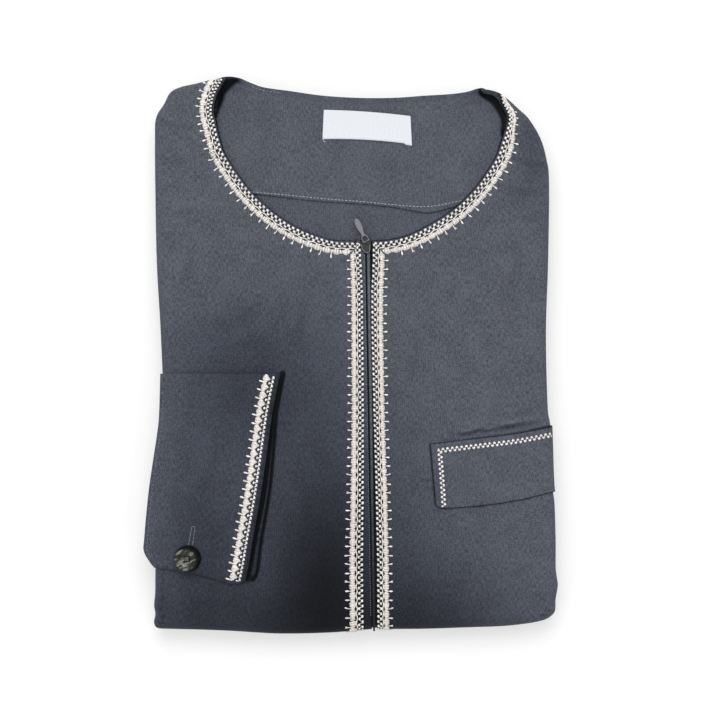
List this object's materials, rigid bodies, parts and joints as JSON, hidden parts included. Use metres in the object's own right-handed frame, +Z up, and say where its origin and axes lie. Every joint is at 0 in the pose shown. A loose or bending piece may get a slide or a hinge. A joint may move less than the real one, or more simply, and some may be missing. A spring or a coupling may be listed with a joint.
{
  "type": "thobe robe",
  "caption": "Charcoal thobe folded flat into a packet: round neck, braid-trimmed zip front, one sleeve folded over with a buttoned cuff, and a patch pocket.",
  "frame": {"origin": "centre of the packet's bounding box, on the surface it lies on", "axes": "+Z up from the surface the packet lies on, +Y along the packet from the hem fold to the neck, +X across it to the wearer's left, which is the right-hand side seen from above with the neck up"},
  "size_m": [0.2882, 0.3884, 0.0349],
  "materials": {
    "charcoal_cloth": "matt heather plain weave",
    "charcoal_cloth_inside": "matt heather plain weave, inner side",
    "ecru_thread": "satin embroidery thread",
    "white_woven": "smooth woven label",
    "dark_zip": "woven tape with a fine coil",
    "marbled_horn": "polished, marbled",
    "grey_enamel": "satin enamel"
  },
  "bodies": {
    "garment": {"folded_layers": "charcoal_cloth", "front_left": "charcoal_cloth", "front_right": "charcoal_cloth", "back_inside": "charcoal_cloth_inside", "back_neck_facing": "charcoal_cloth_inside", "neck_label": "white_woven", "zip_tape": "dark_zip", "zip_coil": "dark_zip", "neck_braid_left": "ecru_thread", "neck_braid_right": "ecru_thread", "zip_braid_left": "ecru_thread", "zip_braid_right": "ecru_thread", "cuff_braid": "ecru_thread", "sleeve_turn": "charcoal_cloth", "cuff_under": "charcoal_cloth", "cuff_upper": "charcoal_cloth", "cuff_button": "marbled_horn", "pocket": "charcoal_cloth", "zip_slider": "grey_enamel"},
    "pull_tab": {"zip_pull": "grey_enamel"}
  },
  "joints": [
    {"name": "pull_hinge", "type": "hinge", "parent": "garment", "child": "pull_tab", "pos_m": [0.011, 0.0794, 0.0319], "axis": [0.9063, 0.4226, 0], "range_deg": [0, 190]}
  ]
}
